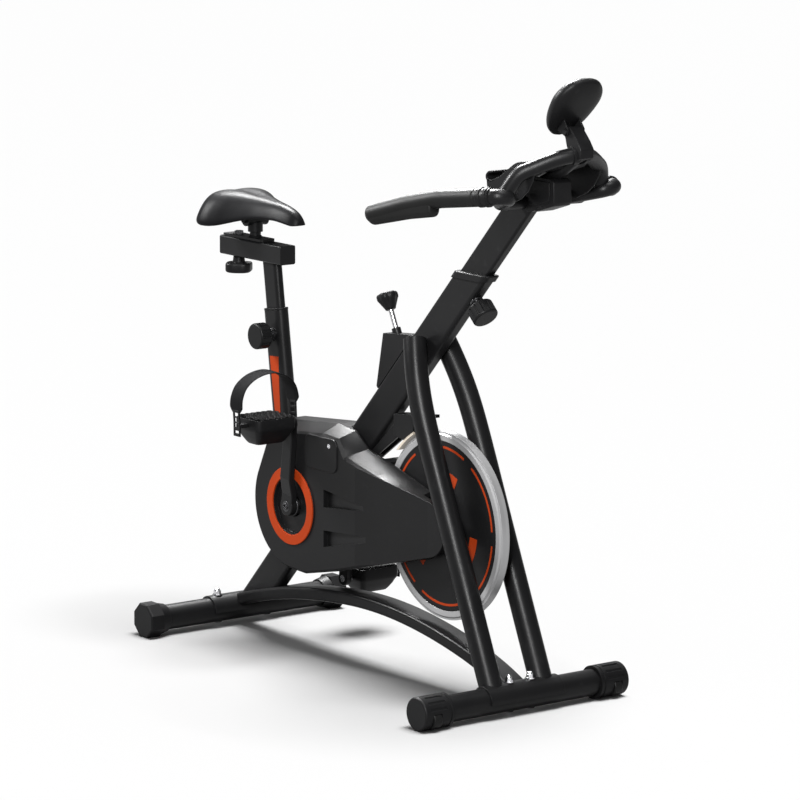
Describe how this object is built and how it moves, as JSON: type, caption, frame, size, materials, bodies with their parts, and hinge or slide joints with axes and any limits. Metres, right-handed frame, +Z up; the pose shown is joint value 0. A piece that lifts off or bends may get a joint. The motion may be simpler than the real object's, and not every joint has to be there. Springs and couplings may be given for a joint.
{
  "type": "indoor spin bike",
  "caption": "Indoor spin bike with arched base tube, belt-driven flywheel, toe-strap pedals, sliding saddle, friction brake knob, bullhorn handlebar and small console.",
  "frame": {"origin": "floor level, centre of the footprint", "axes": "+X forward, the way the rider faces; +Y to the rider's left; +Z up"},
  "size_m": [1.1509, 0.48, 1.1976],
  "materials": {
    "frame_black": "satin powder coat",
    "plastic_black": "fine moulded grain",
    "cover_black": "satin moulded",
    "red": "satin",
    "rim_grey": "machined and painted",
    "chrome": "polished",
    "steel": "turned",
    "rubber": "matte",
    "vinyl": "smooth vinyl",
    "felt": "pressed felt",
    "webbing": "woven strap",
    "lens": "gloss"
  },
  "bodies": {
    "frame": {"stabilizer_tubes": "frame_black", "stabilizer_saddle_plates": "frame_black", "arch_tube": "frame_black", "main_beam": "frame_black", "seat_tube": "frame_black", "bottom_bracket_shell": "frame_black", "fork_legs": "frame_black", "front_wheel_caps": "plastic_black", "rear_end_caps": "plastic_black", "handlebar_post_sleeve": "plastic_black", "seat_post_sleeve": "plastic_black", "pull_pin_housings": "steel", "bottom_bracket_bearings": "frame_black", "drive_belt": "rubber", "flywheel_axle_and_nuts": "steel", "flywheel_axle_spacers": "steel", "belt_cover_outer": "cover_black", "belt_cover_inner": "cover_black", "crank_trim_ring": "red", "bolts_nuts_and_screws": "chrome", "brake_mounts": "frame_black"},
    "right_transport_wheel": {"transport_wheel_right": "rubber"},
    "left_transport_wheel": {"transport_wheel_left": "rubber"},
    "crankset": {"crank_arms": "frame_black", "crank_bolts_and_collars": "chrome", "crank_pulley": "plastic_black", "crank_axle_and_spindles": "steel"},
    "right_pedal": {"pedal_body_right": "plastic_black", "pedal_strap_right": "webbing"},
    "left_pedal": {"pedal_body_left": "plastic_black", "pedal_strap_left": "webbing"},
    "flywheel": {"flywheel_rim": "rim_grey", "flywheel_side_discs": "plastic_black", "flywheel_hub": "steel", "flywheel_red_graphics": "red"},
    "seat_post_unit": {"seat_post": "frame_black", "saddle_rail": "frame_black"},
    "carriage": {"saddle_carriage": "frame_black", "carriage_clamp_bolt": "steel", "saddle_clamp": "frame_black"},
    "handwheel": {"carriage_handwheel": "plastic_black"},
    "saddle": {"saddle_clamp_cheeks": "frame_black", "saddle_base_shell": "plastic_black", "saddle_pad": "vinyl"},
    "handlebar_pin": {"handlebar_pull_pin": "plastic_black"},
    "seat_pin": {"seat_pull_pin": "plastic_black"},
    "handlebar": {"handlebar_post": "frame_black", "handlebar_main_bar": "frame_black", "handlebar_front_loop": "frame_black", "handlebar_stem_and_plates": "frame_black", "tablet_tray": "plastic_black", "handlebar_grips_and_collars": "rubber", "console_bracket": "frame_black"},
    "console": {"console_housing": "plastic_black", "console_window": "lens"},
    "button": {"console_button": "plastic_black"},
    "tension_rod": {"brake_rod": "chrome"},
    "tension_knob": {"brake_knob": "plastic_black"},
    "brake_shoe_arm": {"brake_arm": "frame_black", "brake_pad": "felt"}
  },
  "joints": [
    {"name": "flywheel_spin", "type": "hinge", "parent": "frame", "child": "flywheel", "pos_m": [0.16955, 0, 0.319], "axis": [0, 1, 0], "continuous": true},
    {"name": "crank_spin", "type": "hinge", "parent": "frame", "child": "crankset", "pos_m": [-0.25645, 0, 0.293], "axis": [0, 1, 0], "continuous": true},
    {"name": "right_pedal_spin", "type": "hinge", "parent": "crankset", "child": "right_pedal", "pos_m": [-0.23573, -0.14, 0.46173], "axis": [0, 1, 0], "continuous": true},
    {"name": "left_pedal_spin", "type": "hinge", "parent": "crankset", "child": "left_pedal", "pos_m": [-0.27717, 0.14, 0.12427], "axis": [0, 1, 0], "continuous": true},
    {"name": "right_transport_wheel_spin", "type": "hinge", "parent": "frame", "child": "right_transport_wheel", "pos_m": [0.40405, -0.213, 0.0225], "axis": [0, 1, 0], "continuous": true},
    {"name": "left_transport_wheel_spin", "type": "hinge", "parent": "frame", "child": "left_transport_wheel", "pos_m": [0.40405, 0.213, 0.0225], "axis": [0, 1, 0], "continuous": true},
    {"name": "seat_height", "type": "slide", "parent": "frame", "child": "seat_post_unit", "axis": [-0.1416, 0, 0.9899], "range_m": [-0.08, 0.11]},
    {"name": "saddle_fore_aft", "type": "slide", "parent": "seat_post_unit", "child": "carriage", "axis": [1, 0, 0], "range_m": [-0.024, 0.06]},
    {"name": "handwheel_turn", "type": "hinge", "parent": "carriage", "child": "handwheel", "pos_m": [-0.52945, 0, 0.74], "axis": [0, 0, 1], "range_deg": [0, 360]},
    {"name": "saddle_tilt", "type": "hinge", "parent": "carriage", "child": "saddle", "pos_m": [-0.47145, 0, 0.832], "axis": [0, 1, 0], "range_deg": [-10, 10]},
    {"name": "seat_pin_pull", "type": "slide", "parent": "frame", "child": "seat_pin", "axis": [0, -1, 0], "range_m": [0, 0.008], "stiffness_N_per_m": 900, "springref_m": -0.006},
    {"name": "handlebar_pin_pull", "type": "slide", "parent": "frame", "child": "handlebar_pin", "axis": [0.723, 0, -0.6909], "range_m": [0, 0.006], "stiffness_N_per_m": 900, "springref_m": -0.006},
    {"name": "handlebar_height", "type": "slide", "parent": "frame", "child": "handlebar", "axis": [0.6909, 0, 0.723], "range_m": [-0.08, 0.08]},
    {"name": "tension_push", "type": "slide", "parent": "frame", "child": "tension_rod", "axis": [0.438, 0, -0.899], "range_m": [0, 0.0045], "stiffness_N_per_m": 3000, "springref_m": -0.003},
    {"name": "tension_turn", "type": "hinge", "parent": "tension_rod", "child": "tension_knob", "pos_m": [-0.0175, 0, 0.70611], "axis": [0.438, 0, -0.899], "range_deg": [-360, 360]},
    {"name": "brake_arm_swing", "type": "hinge", "parent": "frame", "child": "brake_shoe_arm", "pos_m": [-0.05945, 0, 0.42], "axis": [0, 1, 0], "range_deg": [0, 1.7]},
    {"name": "console_tilt", "type": "hinge", "parent": "handlebar", "child": "console", "pos_m": [0.52955, 0, 1.09781], "axis": [0, 1, 0], "range_deg": [-18, 18]},
    {"name": "button_press", "type": "slide", "parent": "console", "child": "button", "axis": [0.766, 0, -0.6428], "range_m": [0, 0.0015], "stiffness_N_per_m": 600, "springref_m": -0.001}
  ],
  "couplings": [
    {"joint": "crank_spin", "follows": "flywheel_spin", "ratio": 0.33333},
    {"joint": "brake_arm_swing", "follows": "tension_push", "rad_per_m": 6.2}
  ]
}
